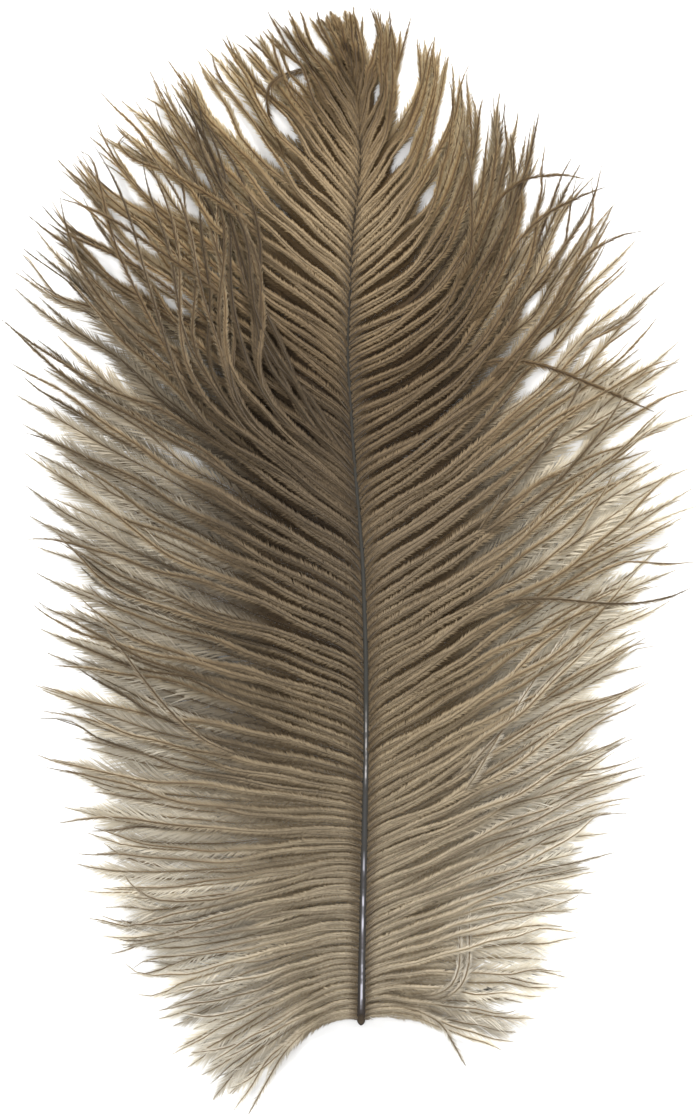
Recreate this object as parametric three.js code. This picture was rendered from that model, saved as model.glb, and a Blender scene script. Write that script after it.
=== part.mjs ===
// An ostrich plume lying flat: a shaft, and on each side a vane of soft barbs that hang together in locks.
// Millimetres. +Y runs up the shaft to the tip, +X is the right-hand vane, and +Z is up from the surface.
import * as THREE from 'three';

// Driving dimensions
const SHAFT_LENGTH = 244;            // from the cut quill end to the tip, along Y
const SHAFT_END_RADIUS = 1.05;       // at the cut end
const SHAFT_TIP_RADIUS = 0.2;
const SHAFT_GROOVE_DEPTH = 0.25;     // of the hollow along the underside, as a share of the radius
const QUILL_CUT_TOP = 2.9;           // where the slanting cut starts, on top of the quill end
const QUILL_CUT_SLANT = 3.2;         // how much further the underside of the cut end reaches
const SHAFT_SIDES = 10;
const SHAFT_STEPS = 38;
const LOCK_INSET = 0.18;             // how far a lock's two sides are pulled in, clear of its neighbours
const MOST_INSET = 0.4;              // of the width of a lock's outer column, where the lock is narrow
const LOCK_COLUMNS = 8;              // across a lock
const LOCK_ROWS = 11;                // along a lock's barbs
const BARB_POINTS = 44;              // steps used to trace one barb
const TOOTH_DEPTH = 0.08;            // how far the tips step in and out, as a share of a barb's length
const ROOT_INSET = 0.35;             // clearance from the shaft's side to the barb roots

// Heights above the surface, as shares of a barb's length from root to tip
const TOP_HEIGHTS = [[0, 5], [0.12, 7.2], [0.3, 8], [0.55, 5.4], [0.8, 3], [1, 1.2]];
const BOTTOM_HEIGHTS = [[0, 3], [0.12, 3.6], [0.3, 3.4], [0.5, 0], [1, 0]];
const LOCK_CROWN = 0.35;             // how much thinner a lock is along its two sides than down its middle
const SHAFT_HEIGHTS = [[0, 1.4], [0.12, 3.6], [0.4, 4.4], [0.8, 3.6], [1, 1.2]];

// The shaft's sideways drift, as [distance up the shaft, X]
const SHAFT_LINE = [
  [0, 0], [31, 0.5], [66, 1.25], [91, 1.25], [115, 0.5], [141, -1.75],
  [168, -3.5], [195, -2.25], [215, 0], [232, -0.75], [244, -3.5],
];

// Barbs that bound the locks, from the quill end up:
// [distance up the shaft, slope at the root, half way and at the tip in degrees, length]
const LEFT_BARBS = [
  [3, -4, -42, -60, 41],
  [21, -2, -17, -4, 56],
  [42, 0, -10, 16, 70],
  [70, 22, 16, 25, 84],
  [103, 27, 28, 33, 97],
  [134, 34, 37, 44, 104],
  [164, 34, 40, 49, 92],
  [196, 40, 53, 62, 61],
  [240, 58, 68, 74, 13],
];
const RIGHT_BARBS = [
  [3, 0, -18, -6, 38],
  [20, 19, 17, 8, 61],
  [42, 18, 26, 21, 78],
  [72, 28, 32, 23, 94],
  [102, 27, 36, 33, 97],
  [132, 27, 43, 50, 94],
  [158, 14, 57, 80, 88],
  [200, 42, 62, 84, 50],
  [240, 92, 97, 100, 13],
];
const LOCK_NAMES = ['base', 'lower', 'middle', 'upper', 'shoulder', 'swept', 'crown', 'tip'];

const shaftFinish = { color: 0x5d5a57, roughness: 0.42, metalness: 0 };
const barbFinish = { color: 0x86755f, roughness: 0.9, metalness: 0 };

// Straight-line reading of a list of [place, value] pairs.
function readAt(pairs, place) {
  const next = pairs.findIndex((pair) => pair[0] >= place);
  if (next === 0) return pairs[0][1];
  if (next < 0) return pairs[pairs.length - 1][1];
  const [before, after] = [pairs[next - 1], pairs[next]];
  const share = (place - before[0]) / (after[0] - before[0]);
  return THREE.MathUtils.lerp(before[1], after[1], share);
}

const shaftCurve = new THREE.CatmullRomCurve3(
  SHAFT_LINE.map(([y, x]) => new THREE.Vector3(x, y, readAt(SHAFT_HEIGHTS, y / SHAFT_LENGTH))),
  false,
  'centripetal',
);
const shaftTrace = shaftCurve.getPoints(160);

function shaftPointAt(distanceUp) {
  const next = shaftTrace.findIndex((point) => point.y >= distanceUp);
  if (next <= 0) return shaftTrace[next === 0 ? 0 : shaftTrace.length - 1].clone();
  const [before, after] = [shaftTrace[next - 1], shaftTrace[next]];
  return before.clone().lerp(after, (distanceUp - before.y) / (after.y - before.y));
}

function shaftRadiusAt(distanceUp) {
  const share = Math.min(distanceUp / SHAFT_LENGTH, 1);
  return THREE.MathUtils.lerp(SHAFT_END_RADIUS, SHAFT_TIP_RADIUS, share ** 0.8);
}

// One closed body through a run of closed rings that all have the same number of points.
// Each end is closed by joining point k of the ring to point (count - 1 - k), straight across.
function loft(rings) {
  const count = rings[0].length;
  const positions = rings.flat().flatMap((point) => [point.x, point.y, point.z]);
  const faces = [];
  const addQuad = (a, b, c, d) => faces.push(a, c, b, a, d, c);
  for (let row = 0; row + 1 < rings.length; row += 1) {
    for (let k = 0; k < count; k += 1) {
      const turn = (k + 1) % count;
      addQuad(row * count + k, row * count + turn, (row + 1) * count + turn, (row + 1) * count + k);
    }
  }
  const last = (rings.length - 1) * count;
  for (let k = 0; k < count / 2 - 1; k += 1) {
    addQuad(k, count - 1 - k, count - 2 - k, k + 1);
    addQuad(last + k, last + k + 1, last + count - 2 - k, last + count - 1 - k);
  }
  const geometry = new THREE.BufferGeometry();
  geometry.setAttribute('position', new THREE.Float32BufferAttribute(positions, 3));
  geometry.setIndex(faces);
  return geometry;
}

// The shaft: round on top, with a shallow hollow underneath, and a slanting cut at the quill end.
function makeShaft() {
  const rings = [];
  for (let step = 0; step <= SHAFT_STEPS; step += 1) {
    const distanceUp = (SHAFT_LENGTH * step) / SHAFT_STEPS;
    const centre = shaftPointAt(distanceUp);
    const radius = shaftRadiusAt(distanceUp);
    const ring = [];
    for (let side = 0; side < SHAFT_SIDES; side += 1) {
      const turn = (2 * Math.PI * (side + 0.5)) / SHAFT_SIDES;
      const facingDown = Math.max(-Math.sin(turn), 0);
      const reach = radius * (1 - SHAFT_GROOVE_DEPTH * facingDown ** 4);
      const cutAt = QUILL_CUT_TOP - QUILL_CUT_SLANT * (0.5 - 0.5 * Math.sin(turn));
      ring.push(new THREE.Vector3(
        centre.x + reach * Math.cos(turn),
        step === 0 ? cutAt : distanceUp,
        centre.z + reach * Math.sin(turn),
      ));
    }
    rings.push(ring);
  }
  return loft(rings);
}

// The barb that lies a share of the way from one bounding barb to the next.
function blendBarbs(first, second, share) {
  return first.map((value, index) => THREE.MathUtils.lerp(value, second[index], share));
}

// The plan of one barb: it leaves the shaft's side and turns smoothly through its three slopes.
function traceBarb([distanceUp, rootSlope, middleSlope, tipSlope, length], side) {
  const start = shaftPointAt(distanceUp);
  const bend = 2 * (rootSlope + tipSlope - 2 * middleSlope);
  const turn = tipSlope - rootSlope - bend;
  const step = length / BARB_POINTS;
  const point = new THREE.Vector2(start.x + side * (shaftRadiusAt(distanceUp) + ROOT_INSET), start.y);
  const trace = [point.clone()];
  for (let k = 0; k < BARB_POINTS; k += 1) {
    const along = (k + 0.5) / BARB_POINTS;
    const slope = THREE.MathUtils.degToRad(rootSlope + turn * along + bend * along * along);
    point.x += side * step * Math.cos(slope);
    point.y += step * Math.sin(slope);
    trace.push(point.clone());
  }
  return trace;
}

function pointAlong(trace, along) {
  const place = Math.min(along, 1) * BARB_POINTS;
  const before = Math.min(Math.floor(place), BARB_POINTS - 1);
  return trace[before].clone().lerp(trace[before + 1], place - before);
}

// A lock of barbs: one soft body between two bounding barbs, crowned down its middle and lying on the
// surface from half way out, with tips that step in and out.
function makeLock(firstBarb, lastBarb, side) {
  const columns = [];
  for (let column = 0; column <= LOCK_COLUMNS; column += 1) {
    const share = column / LOCK_COLUMNS;
    const barb = blendBarbs(firstBarb, lastBarb, share);
    barb[4] *= column % 2 === 0 ? 1 - TOOTH_DEPTH : 1;
    columns.push(traceBarb(barb, side));
  }
  const rings = [];
  for (let row = 0; row <= LOCK_ROWS; row += 1) {
    const along = row / LOCK_ROWS;
    const plan = columns.map((trace) => pointAlong(trace, along));
    closeIn(plan);
    const top = readAt(TOP_HEIGHTS, along);
    const bottom = readAt(BOTTOM_HEIGHTS, along);
    const topRow = plan.map((point, column) => {
      const fromMiddle = Math.abs((2 * column) / LOCK_COLUMNS - 1);
      return new THREE.Vector3(point.x, point.y, top - (top - bottom) * LOCK_CROWN * fromMiddle ** 2);
    });
    const bottomRow = plan.map((point) => new THREE.Vector3(point.x, point.y, bottom));
    rings.push([...topRow, ...bottomRow.reverse()]);
  }
  return loft(rings);
}

// Pulls the two ends of a row of points in a little, so that neighbouring locks stay clear.
function closeIn(plan) {
  const last = plan.length - 1;
  const inset = (from, to) => {
    const span = to.clone().sub(from);
    return from.clone().add(span.setLength(Math.min(LOCK_INSET, span.length() * MOST_INSET)));
  };
  const [first, final] = [inset(plan[0], plan[1]), inset(plan[last], plan[last - 1])];
  plan[0].copy(first);
  plan[last].copy(final);
}

function addPiece(group, name, geometry, finish) {
  geometry.computeVertexNormals();
  const mesh = new THREE.Mesh(geometry, new THREE.MeshStandardMaterial(finish));
  mesh.name = name;
  group.add(mesh);
}

const feather = new THREE.Group();
addPiece(feather, 'shaft', makeShaft(), shaftFinish);
LOCK_NAMES.forEach((name, k) => {
  // Seen from the shaft, the left vane runs the other way, so its locks go from the upper barb to the lower.
  addPiece(feather, `left_${name}_lock`, makeLock(LEFT_BARBS[k + 1], LEFT_BARBS[k], -1), barbFinish);
  addPiece(feather, `right_${name}_lock`, makeLock(RIGHT_BARBS[k], RIGHT_BARBS[k + 1], 1), barbFinish);
});

// The origin is at the middle of the feather's box, on the surface it lies on.
const box = new THREE.Box3().setFromObject(feather);
const centre = box.getCenter(new THREE.Vector3());
feather.position.set(-centre.x, -centre.y, -box.min.z);

export default feather;
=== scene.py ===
import math

import bpy
import numpy as np
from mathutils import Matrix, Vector


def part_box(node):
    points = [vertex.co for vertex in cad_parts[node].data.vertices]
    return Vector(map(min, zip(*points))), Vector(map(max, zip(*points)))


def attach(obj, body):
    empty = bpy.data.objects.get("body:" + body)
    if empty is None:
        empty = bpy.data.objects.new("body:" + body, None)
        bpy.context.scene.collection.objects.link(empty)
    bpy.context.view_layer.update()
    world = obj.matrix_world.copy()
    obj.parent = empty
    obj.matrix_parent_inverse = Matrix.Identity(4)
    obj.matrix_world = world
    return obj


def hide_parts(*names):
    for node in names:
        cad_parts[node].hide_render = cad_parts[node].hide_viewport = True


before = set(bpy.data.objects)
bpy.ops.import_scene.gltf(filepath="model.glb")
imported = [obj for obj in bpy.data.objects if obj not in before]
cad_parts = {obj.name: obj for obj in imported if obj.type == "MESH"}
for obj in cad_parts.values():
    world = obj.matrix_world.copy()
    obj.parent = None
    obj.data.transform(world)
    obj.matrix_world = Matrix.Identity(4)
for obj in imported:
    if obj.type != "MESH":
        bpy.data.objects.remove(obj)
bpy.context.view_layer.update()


# ------------------------------------------------------------------ shaft
# The shaft, or rachis, is one tapering rod of grey horn, about 2 mm across at the end where it was cut and
# 0.4 mm at the tip. It is round on top and hollowed along its underside. The quill end is cut on a slant, and
# the cut shows a rim of grey horn round its brown pith, which is sunk a little.

MM = 0.001
SHAFT_LENGTH = 244
SHAFT_END_RADIUS = 1.05
SHAFT_TIP_RADIUS = 0.2
SHAFT_GROOVE = 0.25
QUILL_CUT_TOP = 2.9
QUILL_CUT_SLANT = 3.2
PITH_SHARE = 0.68
PITH_DEPTH = 0.5
SHAFT_LINE = [
    (0, 0), (31, 0.5), (66, 1.25), (91, 1.25), (115, 0.5), (141, -1.75),
    (168, -3.5), (195, -2.25), (215, 0), (232, -0.75), (244, -3.5),
]
SHAFT_HEIGHTS = [(0, 1.4), (0.12, 3.6), (0.4, 4.4), (0.8, 3.6), (1, 1.2)]


def read_at(pairs, place):
    """The value at a place in a list of (place, value) pairs."""
    places, values = zip(*pairs)
    return np.interp(place, places, values)


def smooth_line(pairs, places, window=9.0):
    """The list of pairs read at each place and softened, so that its corners become bends."""
    offsets = np.linspace(-window, window, 13)
    weights = 1 - np.abs(offsets) / (window * 1.05)
    readings = [weight * read_at(pairs, places + offset) for offset, weight in zip(offsets, weights)]
    return np.sum(readings, axis=0) / weights.sum()


def shaft_x(up):
    return smooth_line(SHAFT_LINE, np.asarray(up, float))


def shaft_z(up):
    heights = [(share * SHAFT_LENGTH, height) for share, height in SHAFT_HEIGHTS]
    return smooth_line(heights, np.asarray(up, float))


def shaft_radius(up):
    share = np.clip(np.asarray(up, float) / SHAFT_LENGTH, 0, 1)
    return SHAFT_END_RADIUS + (SHAFT_TIP_RADIUS - SHAFT_END_RADIUS) * share ** 0.8


# The feather is drawn from the middle of its cut end. This is where that point lies in the frame.
shaft_low, shaft_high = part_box("shaft")
widest = np.linspace(0, SHAFT_LENGTH, 300)
CUT_END_X = shaft_high[0] / MM - float(np.max(shaft_x(widest) + shaft_radius(widest)))
CUT_END_Y = shaft_low[1] / MM + QUILL_CUT_SLANT - QUILL_CUT_TOP


def to_frame(points):
    """Points in millimetres from the cut end become points in metres in the frame."""
    moved = np.array(points, dtype=np.float32)
    moved[:, 0] += CUT_END_X
    moved[:, 1] += CUT_END_Y
    return moved * MM


def mesh_object(name, points, faces):
    """One mesh object from points in millimetres and faces that all have the same number of corners."""
    mesh = bpy.data.meshes.new(name)
    placed = to_frame(points)
    faces = np.asarray(faces, dtype=np.int32)
    corners = faces.shape[1]
    mesh.vertices.add(len(placed))
    mesh.vertices.foreach_set("co", placed.ravel())
    mesh.loops.add(faces.size)
    mesh.loops.foreach_set("vertex_index", faces.ravel())
    mesh.polygons.add(len(faces))
    mesh.polygons.foreach_set("loop_start", np.arange(0, faces.size, corners, dtype=np.int32))
    mesh.update(calc_edges=True)
    mesh.polygons.foreach_set("use_smooth", np.ones(len(faces), bool))
    piece = bpy.data.objects.new(name, mesh)
    bpy.context.scene.collection.objects.link(piece)
    return piece


def keep_attribute(piece, name, values):
    layer = piece.data.attributes.new(name, "FLOAT", "POINT")
    layer.data.foreach_set("value", np.asarray(values, dtype=np.float32))


def new_material(name):
    """An empty node material, with a maker for its nodes and one for its links."""
    finish = bpy.data.materials.new(name)
    finish.use_nodes = True
    tree = finish.node_tree
    tree.nodes.clear()

    def node(kind, **settings):
        made = tree.nodes.new(kind)
        for key, value in settings.items():
            if hasattr(made, key):
                setattr(made, key, value)
            else:
                made.inputs[key].default_value = value
        return made

    return finish, node, tree.links.new


def ramp(node, stops):
    """A colour ramp through (place, (red, green, blue)) stops, with colours as they look on a screen."""
    made = node("ShaderNodeValToRGB")
    band = made.color_ramp
    while len(band.elements) < len(stops):
        band.elements.new(0.5)
    for element, (place, colour) in zip(band.elements, stops):
        element.position = place
        element.color = (*screen_colour(colour), 1)
    return made


def share_between(node, readings, shares=(0.0, 1.0), curve="SMOOTHSTEP"):
    """A node that turns one range of readings into one range of shares, and holds at both ends."""
    return node("ShaderNodeMapRange", interpolation_type=curve, **{
        "From Min": readings[0], "From Max": readings[1], "To Min": shares[0], "To Max": shares[1],
    })


def screen_colour(colour):
    """A screen colour from 0 to 255 as linear light."""
    shares = [channel / 255 for channel in colour]
    return [share / 12.92 if share <= 0.04045 else ((share + 0.055) / 1.055) ** 2.4 for share in shares]


SHAFT_SIDES = 20
shaft_steps = np.append(0, np.linspace(QUILL_CUT_TOP + 1, SHAFT_LENGTH, 159))
turns = 2 * np.pi * (np.arange(SHAFT_SIDES) + 0.5) / SHAFT_SIDES
facing_down = np.clip(-np.sin(turns), 0, None)
section = 1 - SHAFT_GROOVE * facing_down ** 4

rings = []
for up in shaft_steps:
    reach = float(shaft_radius(up)) * section
    cut = QUILL_CUT_TOP - QUILL_CUT_SLANT * (0.5 - 0.5 * np.sin(turns))
    rings.append(np.column_stack([
        float(shaft_x(up)) + reach * np.cos(turns),
        cut if up == 0 else np.full(SHAFT_SIDES, up),
        float(shaft_z(up)) + reach * np.sin(turns),
    ]))

# The rim of the cut goes in to the pith, and the pith is sunk a little.
end_middle = rings[0].mean(axis=0)
rim = end_middle + (rings[0] - end_middle) * PITH_SHARE
sunk = rim + np.array([0, PITH_DEPTH, 0])
rings = [sunk, rim] + rings
points = np.vstack(rings + [sunk.mean(axis=0)[None], rings[-1].mean(axis=0)[None]])
faces = []
for row in range(len(rings) - 1):
    for k in range(SHAFT_SIDES):
        turn = (k + 1) % SHAFT_SIDES
        low, high = row * SHAFT_SIDES, (row + 1) * SHAFT_SIDES
        faces.append((low + k, high + k, high + turn))
        faces.append((low + k, high + turn, low + turn))
first_hub = len(rings) * SHAFT_SIDES
last = (len(rings) - 1) * SHAFT_SIDES
for k in range(SHAFT_SIDES):
    turn = (k + 1) % SHAFT_SIDES
    faces.append((first_hub, k, turn))
    faces.append((first_hub + 1, last + turn, last + k))
shaft = mesh_object("horn_shaft", points, faces)
up_shares = np.repeat(np.concatenate([[0, 0], shaft_steps / SHAFT_LENGTH]), SHAFT_SIDES)
keep_attribute(shaft, "up", np.append(up_shares, [0, 1]))
# crest is how far each point of the shaft faces up; the horn's material paints a highlight along it.
crest = np.clip(np.sin(turns), 0, 1)
keep_attribute(shaft, "crest", np.append(np.tile(crest, len(rings)), [0, 0]))
pith_shares = np.zeros(len(points))
pith_shares[:2 * SHAFT_SIDES] = 1
pith_shares[first_hub] = 1
keep_attribute(shaft, "pith", pith_shares)

horn, node, link = new_material("grey_horn")
up_read, pith_read, crest_read = (
    node("ShaderNodeAttribute", attribute_name=name) for name in ("up", "pith", "crest")
)
horn_colours = ramp(node, [
    (0.0, (56, 50, 46)), (0.05, (62, 60, 58)), (0.3, (58, 57, 54)), (0.6, (54, 52, 48)),
    (0.85, (46, 38, 28)), (1.0, (64, 52, 36)),
])
# Painted highlight: a thin pale streak along the top of the shaft's lower third, where the light catches the
# horn, broken into pieces by noise. Higher up the streak takes the horn's own dark colours.
crest_highlight_colours = ramp(node, [
    (0.0, (66, 62, 60)), (0.012, (80, 76, 76)), (0.024, (178, 176, 186)), (0.068, (180, 178, 188)),
    (0.08, (98, 94, 98)), (0.092, (104, 100, 104)), (0.1, (184, 182, 192)), (0.128, (178, 176, 186)),
    (0.14, (72, 70, 72)), (0.152, (72, 70, 72)), (0.158, (160, 158, 166)), (0.168, (140, 138, 144)),
    (0.178, (62, 62, 62)), (0.245, (62, 62, 62)), (0.256, (172, 168, 168)), (0.3, (148, 144, 142)),
    (0.33, (60, 61, 58)), (0.6, (54, 52, 48)), (0.85, (46, 38, 29)), (1.0, (64, 52, 36)),
])
crest_highlight_share = share_between(node, (0.92, 0.99))
highlight_breaks = node("ShaderNodeTexNoise", Scale=420.0, Detail=2.0)
highlight_break_share = share_between(node, (0.4, 0.55), (0.25, 1.0), "LINEAR")
broken_highlight = node("ShaderNodeMath", operation="MULTIPLY")
highlight_mix = node("ShaderNodeMix", data_type="RGBA")
grain_place = node("ShaderNodeTexCoord")
grain_stretch = node("ShaderNodeMapping")
grain_stretch.inputs["Scale"].default_value = (2200, 60, 2200)
grain = node("ShaderNodeTexNoise", Scale=1.0, Detail=3.0, Roughness=0.6)
grain_mix = node("ShaderNodeMix", data_type="RGBA", blend_type="MULTIPLY", Factor=0.45)
grain_tone = share_between(node, (0.0, 1.0), (0.55, 1.35), "LINEAR")
pith_mix = node("ShaderNodeMix", data_type="RGBA")
pith_mix.inputs["B"].default_value = (*screen_colour((76, 66, 54)), 1)
bump = node("ShaderNodeBump", Strength=0.25, Distance=0.00005)
shine = share_between(node, (0.0, 1.0), (0.5, 0.75), "LINEAR")
horn_shader = node("ShaderNodeBsdfPrincipled")
horn_shader.inputs["Specular IOR Level"].default_value = 0.1
horn_out = node("ShaderNodeOutputMaterial")
link(grain_place.outputs["Object"], grain_stretch.inputs["Vector"])
link(grain_stretch.outputs["Vector"], grain.inputs["Vector"])
link(up_read.outputs["Fac"], horn_colours.inputs["Fac"])
link(grain.outputs["Fac"], grain_tone.inputs["Value"])
link(grain.outputs["Fac"], shine.inputs["Value"])
link(up_read.outputs["Fac"], crest_highlight_colours.inputs["Fac"])
link(crest_read.outputs["Fac"], crest_highlight_share.inputs["Value"])
link(grain_place.outputs["Object"], highlight_breaks.inputs["Vector"])
link(highlight_breaks.outputs["Fac"], highlight_break_share.inputs["Value"])
link(crest_highlight_share.outputs["Result"], broken_highlight.inputs[0])
link(highlight_break_share.outputs["Result"], broken_highlight.inputs[1])
link(broken_highlight.outputs["Value"], highlight_mix.inputs["Factor"])
link(horn_colours.outputs["Color"], highlight_mix.inputs["A"])
link(crest_highlight_colours.outputs["Color"], highlight_mix.inputs["B"])
link(highlight_mix.outputs["Result"], grain_mix.inputs["A"])
link(grain_tone.outputs["Result"], grain_mix.inputs["B"])
link(grain_mix.outputs["Result"], pith_mix.inputs["A"])
link(pith_read.outputs["Fac"], pith_mix.inputs["Factor"])
link(grain.outputs["Fac"], bump.inputs["Height"])
link(pith_mix.outputs["Result"], horn_shader.inputs["Base Color"])
link(shine.outputs["Result"], horn_shader.inputs["Roughness"])
link(bump.outputs["Normal"], horn_shader.inputs["Normal"])
link(horn_shader.outputs["BSDF"], horn_out.inputs["Surface"])
shaft.data.materials.append(horn)
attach(shaft, "root")
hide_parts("shaft")


# ------------------------------------------------------------------ barbs
# Each barb is one long soft filament that grows from the side of the shaft, with barbules, finer hairs
# about 2 mm long, along both of its sides. An ostrich's barbules have no hooks, so the barbs aren't zipped
# into a blade: they hang beside each other as soft cords near the shaft and thin ribbons further out.

# Barbs that lead the others, from the quill end up:
# (distance up the shaft, slope at the root, half way and at the tip in degrees, length in millimetres)
LEFT_LEADERS = [
    (3, -8, -44, -60, 39), (6, -12, -38, -42, 43), (10, -12, -32, -27, 47), (15, -8, -24, -16, 51),
    (21, -4, -18, -4, 56), (27, 0, -14, 4, 61), (31, 0, -15, 8, 64), (35, -2, -15, 13, 67),
    (42, -1, -10, 16, 70), (48.5, -1, 2, 11, 75), (56, 5, 12, 18, 80), (63, 13, 17, 23, 83),
    (70, 22, 16, 25, 84), (77, 25, 15, 27, 84), (83.5, 25, 16, 28, 87), (90, 27, 20, 34, 91),
    (96, 27, 26, 34, 95), (103.5, 27, 28, 33, 97), (110, 30, 31, 34, 100), (116.5, 31, 33, 36, 102),
    (123.5, 33, 35, 40, 104), (130, 34, 37, 43, 104), (136, 35, 38, 46, 103), (142, 33, 37, 46, 102),
    (148, 33, 38, 47, 100), (155, 33, 40, 50, 95), (161.5, 33, 40, 50, 92), (167, 34, 39, 47, 88),
    (173.5, 34, 39, 47, 84), (180, 33, 41, 52, 79), (186.5, 33, 45, 58, 73), (193.5, 35, 48, 60, 64),
    (200, 39, 51, 54, 57), (206.5, 43, 53, 51, 52), (215, 49, 55, 51, 45), (222, 55, 57, 55, 37),
    (231, 60, 60, 62, 25), (241, 66, 66, 70, 11.3),
]
RIGHT_LEADERS = [
    (4, 0, -20, -10, 38), (8.5, 8, -4, 2, 45), (12, 12, 8, 11, 53), (16, 16, 12, 6, 57),
    (20.5, 19, 17, 8, 61), (25, 21, 21, 11, 65), (30, 20, 24, 17, 71), (35.5, 18, 26, 20, 77),
    (43.5, 18, 26, 21, 78), (52, 20, 32, 20, 80), (65, 26, 31, 25, 88), (72, 28, 32, 23, 88),
    (82, 30, 30, 26, 94), (90, 26, 32, 29, 91), (96, 26, 35, 31, 93), (102, 27, 36, 33, 94),
    (116, 28, 37, 32, 96), (122, 28, 39, 37, 95), (127, 27, 41, 44, 94), (132, 27, 43, 51, 94),
    (138, 23, 46, 60, 95), (147, 18, 53, 67, 92), (151, 15, 56, 75, 92), (156, 12, 58, 84, 90),
    (165, 11, 61, 89, 84), (175, 13, 61, 90, 75), (190.5, 30, 60, 84, 59), (200, 36, 62, 85, 52),
    (208.5, 42, 72, 96, 46), (218.5, 50, 78, 95, 37), (231, 66, 86, 96, 24), (241, 86, 94, 100, 10),
]

# Left-hand barbs that are swept up across their neighbours in one dark bundle. Each path gives points in
# millimetres from the cut end, and the bundle's barbs lie between one path and the next.
SWEPT_PATHS = [
    [(-2, 144), (-10, 155), (-15, 164), (-19, 172), (-22, 181),
     (-24, 195), (-26, 212), (-34, 232), (-39, 240)],
    [(-2, 138), (-13, 150), (-22, 160), (-25, 171), (-26, 181),
     (-26, 194), (-30, 202), (-44, 221), (-49, 235)],
    [(-1, 134), (-15, 146), (-25, 155), (-28, 168), (-28, 181),
     (-30, 196), (-33, 211), (-39, 226), (-45, 236)],
    [(-1, 130), (-16, 142), (-29, 152), (-33, 164), (-35, 177),
     (-36, 191), (-39, 206), (-48, 228), (-53, 236)],
    [(0, 126), (-18, 138), (-32, 148), (-39, 160), (-41, 177),
     (-43, 191), (-46, 204), (-52, 216), (-58, 230)],
    [(0, 122), (-18, 134), (-34, 144), (-43, 156), (-48, 171),
     (-53, 184), (-60, 196), (-64, 207), (-68, 220)],
]
SWEPT_BARBS = 19
SWEPT_INSET = 0.4              # how far inside the outer paths the bundle's outer barbs lie, in paths
SWEPT_SCATTER = (-0.4, 0.39)
SWEPT_SHARES = (0.88, 1.0)     # how much of its path each barb reaches
SWEPT_DRIFT = 2.3
SWEPT_WAVE = 0.8

# Single barbs that have come away and lie across the others, as the side they grow on and their path
STRAY_BARBS = [
    (-1, [(1, 58), (-15, 64), (-34, 68), (-45, 75), (-54, 86), (-65, 101)]),
    (-1, [(0, 4), (-10, 2), (-19, -6), (-28, -22)]),
    (-1, [(-3, 236), (-10, 239), (-18, 238), (-23, 235), (-24, 230), (-22, 224), (-19, 216)]),
    (-1, [(-3, 174), (-18, 191), (-33, 204), (-50, 214), (-60, 216), (-62, 219), (-60, 221), (-58, 222)]),
    (-1, [(-3, 146), (-23, 146), (-39, 154), (-46, 164), (-52, 175), (-62, 195), (-64, 202), (-65, 215),
          (-70, 218)]),
    (-1, [(-3, 157), (-18, 168), (-33, 181), (-53, 195), (-65, 203), (-75, 206)]),
    (-1, [(-1, 136), (-33, 151), (-53, 168), (-63, 178), (-69, 186), (-73, 196), (-75, 206)]),
    (-1, [(-2, 151), (-33, 171), (-48, 184), (-60, 192), (-72, 196), (-78, 200)]),
    (1, [(1, 28), (7, 34), (17, 47), (26, 58), (34, 72), (41, 83), (48, 93), (53, 101)]),
    (1, [(1, 39), (14, 52), (26, 64), (34, 72), (44, 83), (55, 95)]),
    (1, [(1, 10), (15, 6), (23, 7), (27, 13), (27, 22), (27, 30)]),
    (1, [(1, 9), (12, 6.5), (21, 8), (24.5, 12.5), (24.7, 20), (24.5, 27)]),
    (1, [(-2, 157), (15, 171), (27, 188), (32, 202), (35, 209), (46, 213), (56, 211)]),
    (1, [(-2, 138), (22, 151), (45, 174), (53, 190), (60, 196), (70, 198)]),
    (1, [(-1, 151), (17, 160), (32, 166), (42, 166), (57, 160), (73, 153)]),
    (1, [(1, 3), (11, 5), (20, 1), (26, -10)]),
    (1, [(-3, 156), (15, 164), (30, 178), (40, 198), (50, 205), (61, 209)]),
    (1, [(1, 90), (10, 95), (20, 100), (32, 105), (43, 107), (52, 106), (60, 105), (73, 105), (82, 109)]),
    (1, [(0, 108), (18, 114), (34, 125), (47, 133), (61, 149), (66, 158)]),
    (1, [(1, 98), (12, 105), (24, 115), (35, 132), (45, 142), (53, 156), (58, 167)]),
]

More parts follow.
